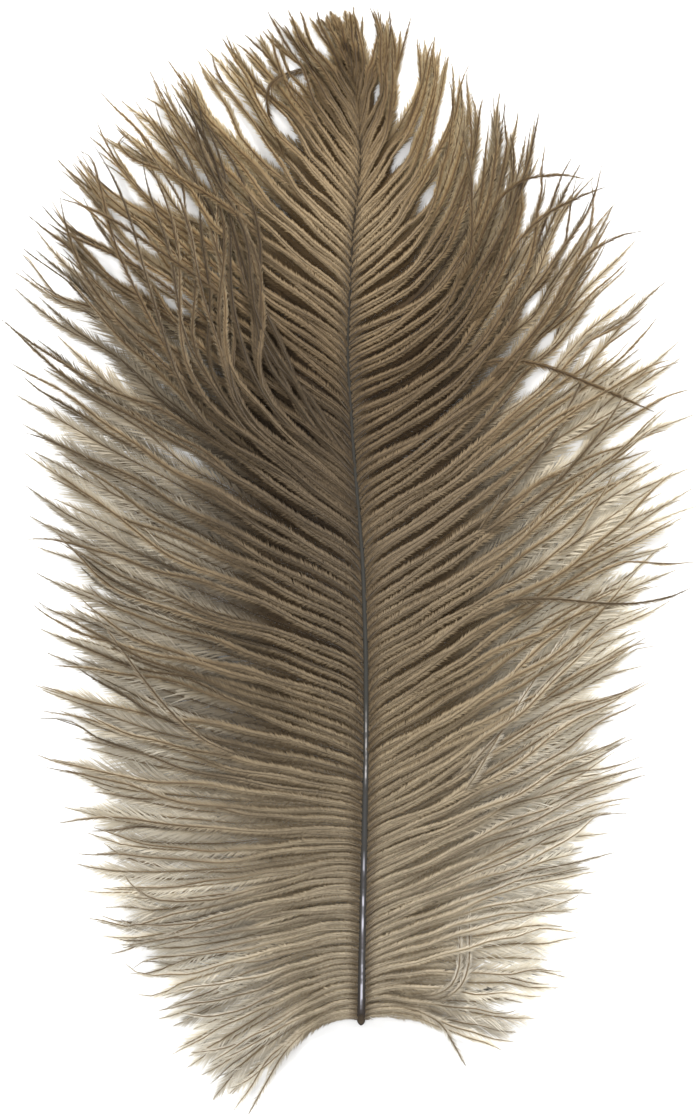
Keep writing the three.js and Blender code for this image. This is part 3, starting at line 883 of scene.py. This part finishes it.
# The first few millimetres of each barb are browner: partly the roots' own browner fuzz, and partly painted
# shade where the barbs crowd in beside the shaft.
root_fuzz_and_shade_share = share_between(node, (0.0, 0.075), (0.85, 0.0))
root_fuzz_and_shade_mix = node("ShaderNodeMix", data_type="RGBA")
root_fuzz_and_shade_mix.inputs["B"].default_value = (*screen_colour((114, 97, 73)), 1)
tone_colours = ramp(node, [(0.0, (112, 104, 92)), (0.5, (206, 202, 196)), (1.0, (255, 254, 250))])
tone_mix = node("ShaderNodeMix", data_type="RGBA", blend_type="MULTIPLY", Factor=0.8)
height_colours = ramp(node, [
    (0.0, (250, 250, 240)), (0.25, (240, 236, 226)), (0.45, (212, 206, 198)), (0.65, (206, 194, 176)),
    (0.8, (250, 242, 228)), (0.88, (232, 220, 200)), (0.95, (180, 166, 142)), (1.0, (168, 152, 126)),
])
height_mix = node("ShaderNodeMix", data_type="RGBA", blend_type="MULTIPLY", Factor=1.0)
crown_colours = ramp(node, [
    (0.0, (255, 255, 255)), (0.42, (255, 255, 255)), (0.6, (226, 214, 194)), (0.8, (236, 224, 200)),
    (1.0, (206, 190, 162)),
])
crown_mix = node("ShaderNodeMix", data_type="RGBA", blend_type="MULTIPLY", Factor=1.0)
down_shader = node("ShaderNodeBsdfPrincipled", Roughness=0.7)
down_shader.inputs["Sheen Weight"].default_value = 0.15
down_shader.inputs["Specular IOR Level"].default_value = 0.25
through = node("ShaderNodeBsdfTranslucent")
down_mix = node("ShaderNodeMixShader", Fac=0.35)
down_out = node("ShaderNodeOutputMaterial")
link(up_read.outputs["Fac"], change_over.inputs["Value"])
link(change_over.outputs["Result"], near_to_far.inputs["From Max"])
link(along_read.outputs["Fac"], near_to_far.inputs["Value"])
link(out_read.outputs["Fac"], near_ridge_light_gap_shade.inputs["Fac"])
link(out_read.outputs["Fac"], far_colours.inputs["Fac"])
link(near_to_far.outputs["Result"], reach_mix.inputs["Factor"])
link(up_read.outputs["Fac"], base_to_tip.inputs["Value"])
link(base_to_tip.outputs["Result"], under_rank_shade_share.inputs[0])
link(lower_read.outputs["Fac"], under_rank_shade_share.inputs[1])
link(under_rank_shade_share.outputs["Value"], under_rank_shade_mix.inputs["Factor"])
link(near_ridge_light_gap_shade.outputs["Color"], under_rank_shade_mix.inputs["A"])
link(out_read.outputs["Fac"], under_rank_shade_colours.inputs["Fac"])
link(under_rank_shade_colours.outputs["Color"], under_rank_shade_mix.inputs["B"])
link(up_read.outputs["Fac"], height_colours.inputs["Fac"])
link(under_rank_shade_mix.outputs["Result"], height_mix.inputs["A"])
link(height_colours.outputs["Color"], height_mix.inputs["B"])
link(up_read.outputs["Fac"], paleness.inputs["Value"])
link(paleness.outputs["Result"], pale_mix.inputs["Factor"])
link(height_mix.outputs["Result"], pale_mix.inputs["A"])
link(up_read.outputs["Fac"], base_share.inputs["Value"])
link(base_share.outputs["Result"], base_mix.inputs["Factor"])
link(veil_colours.outputs["Color"], base_mix.inputs["A"])
link(base_colours.outputs["Color"], base_mix.inputs["B"])
link(out_read.outputs["Fac"], base_colours.inputs["Fac"])
link(out_read.outputs["Fac"], pale_near_ridge_light_gap_shade.inputs["Fac"])
link(pale_near_ridge_light_gap_shade.outputs["Color"], pale_mix.inputs["B"])
link(pale_mix.outputs["Result"], reach_mix.inputs["A"])
link(out_read.outputs["Fac"], veil_colours.inputs["Fac"])
link(lower_read.outputs["Fac"], veil_share.inputs[0])
link(paleness.outputs["Result"], veil_share.inputs[1])
link(veil_share.outputs["Value"], veil_mix.inputs["Factor"])
link(far_colours.outputs["Color"], veil_mix.inputs["A"])
link(base_mix.outputs["Result"], veil_mix.inputs["B"])
link(shade_read.outputs["Fac"], tone_colours.inputs["Fac"])
link(up_read.outputs["Fac"], crown_colours.inputs["Fac"])
link(veil_mix.outputs["Result"], crown_mix.inputs["A"])
link(crown_colours.outputs["Color"], crown_mix.inputs["B"])
link(crown_mix.outputs["Result"], reach_mix.inputs["B"])
link(reach_mix.outputs["Result"], root_fuzz_and_shade_mix.inputs["A"])
link(along_read.outputs["Fac"], root_fuzz_and_shade_share.inputs["Value"])
link(root_fuzz_and_shade_share.outputs["Result"], root_fuzz_and_shade_mix.inputs["Factor"])
link(root_fuzz_and_shade_mix.outputs["Result"], tone_mix.inputs["A"])
link(tone_colours.outputs["Color"], tone_mix.inputs["B"])
link(tone_mix.outputs["Result"], down_shader.inputs["Base Color"])
link(tone_mix.outputs["Result"], through.inputs["Color"])
link(down_shader.outputs["BSDF"], down_mix.inputs[1])
link(through.outputs["BSDF"], down_mix.inputs[2])
link(down_mix.outputs["Shader"], down_out.inputs["Surface"])


def barb_roots(first, spacing):
    """Where the barbs of one rank leave the shaft."""
    places = []
    up = first
    while up < SHAFT_LENGTH - LAST_BARB_GAP:
        places.append(up)
        up += float(read_at(spacing, up)) * float(dice.uniform(*SPACING_SCATTER))
    return np.array(places)


for side_name, side, seed, leaders, starts, usual_tones, usual_near_tones in (
    ("left", -1, LEFT_SEED, LEFT_LEADERS, LEFT_LOCK_STARTS, LEFT_TONES, LEFT_NEAR_TONES),
    ("right", 1, RIGHT_SEED, RIGHT_LEADERS, RIGHT_LOCK_STARTS, RIGHT_TONES, RIGHT_NEAR_TONES),
):
    dice = np.random.default_rng(seed)
    upper = barb_roots(FIRST_UPPER_BARB, UPPER_SPACING)
    lower = barb_roots(FIRST_LOWER_BARB, LOWER_SPACING)
    up = np.concatenate([upper, lower])
    is_lower = np.arange(len(up)) >= len(upper)
    order = np.argsort(up)
    up, is_lower = up[order], is_lower[order]
    rows, trims, tones = vane(side, leaders, up, is_lower, usual_tones)
    strays = [follow(path) for stray_side, path in STRAY_BARBS if stray_side == side]
    loose = [loose_barbs(strays, **STRAY_LIE)]
    if side < 0:
        loose.append(loose_barbs(swept_bundle(), **SWEPT_LIE))
    rows, trims, up, tones = (np.concatenate(parts) for parts in zip((rows, trims, up, tones), *loose))
    is_lower = np.append(is_lower, np.zeros(len(up) - len(is_lower), bool))
    near_tones = read_at(usual_near_tones, up)
    for k, lock_name in enumerate(LOCK_NAMES):
        low = starts[k] if k else -1
        high = starts[k + 1] if k + 1 < len(starts) else SHAFT_LENGTH
        inside = (up > low) & (up <= high)
        lock_name = f"{side_name}_{lock_name}"
        lock = make_lock(
            f"{lock_name}_barbs", rows[inside], trims[inside], up[inside], is_lower[inside], tones[inside],
            near_tones[inside], down,
        )
        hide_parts(f"{lock_name}_lock")


# ------------------------------------------------------------------ floor, light and camera
# The feather lies loose on a flat pale board with a matt surface. A broad soft light hangs overhead, and a
# smaller one stands beyond the tip, so that the barbs shade each other.

FLOOR_SIZE = 6.0
floor_mesh = bpy.data.meshes.new("pale_board")
half = FLOOR_SIZE / 2
board_corners = [(-half, -half, 0), (half, -half, 0), (half, half, 0), (-half, half, 0)]
floor_mesh.from_pydata(board_corners, [], [(0, 1, 2, 3)])
floor = bpy.data.objects.new("pale_board", floor_mesh)
bpy.context.scene.collection.objects.link(floor)
board, node, link = new_material("pale_board")
board_shader = node("ShaderNodeBsdfPrincipled", Roughness=0.9)
board_shader.inputs["Base Color"].default_value = (0.93, 0.93, 0.925, 1)
board_shader.inputs["Specular IOR Level"].default_value = 0.1
board_out = node("ShaderNodeOutputMaterial")
link(board_shader.outputs["BSDF"], board_out.inputs["Surface"])
floor_mesh.materials.append(board)


def soft_light(name, place, target, size, power):
    lamp = bpy.data.lights.new(name, "AREA")
    lamp.shape = "DISK"
    lamp.size = size
    lamp.energy = power
    holder = bpy.data.objects.new(name, lamp)
    holder.location = place
    holder.rotation_euler = (Vector(target) - Vector(place)).to_track_quat("-Z", "Y").to_euler()
    bpy.context.scene.collection.objects.link(holder)
    return holder


soft_light("tip_side_light", (0.2, 1.3, 0.85), (0, 0, 0), 0.5, 30)
soft_light("overhead_light", (-0.2, -0.2, 2.0), (0, 0, 0), 1.6, 30)

sky = bpy.data.worlds.new("studio")
sky.use_nodes = True
sky.node_tree.nodes["Background"].inputs["Color"].default_value = (1, 1, 1, 1)
sky.node_tree.nodes["Background"].inputs["Strength"].default_value = 0.45
bpy.context.scene.world = sky

PIXEL = 0.25
PICTURE_WIDTH = 700
PICTURE_HEIGHT = 1119
CUT_END_PIXEL = (361, 1024)
CAMERA_HEIGHT = 1.5
SENSOR = 36
lens_camera = bpy.data.cameras.new("overhead_camera")
lens_camera.sensor_width = SENSOR
lens_camera.lens = SENSOR * CAMERA_HEIGHT / (PICTURE_HEIGHT * PIXEL * MM)
lens_camera.clip_start = 0.01
camera = bpy.data.objects.new("overhead_camera", lens_camera)
camera.location = (
    (CUT_END_X + (PICTURE_WIDTH / 2 - CUT_END_PIXEL[0]) * PIXEL) * MM,
    (CUT_END_Y + (CUT_END_PIXEL[1] - PICTURE_HEIGHT / 2) * PIXEL) * MM,
    CAMERA_HEIGHT,
)
bpy.context.scene.collection.objects.link(camera)
bpy.context.scene.camera = camera

bpy.context.scene.view_settings.view_transform = "Standard"
bpy.context.scene.cycles.max_bounces = 8
bpy.context.scene.cycles.transmission_bounces = 6
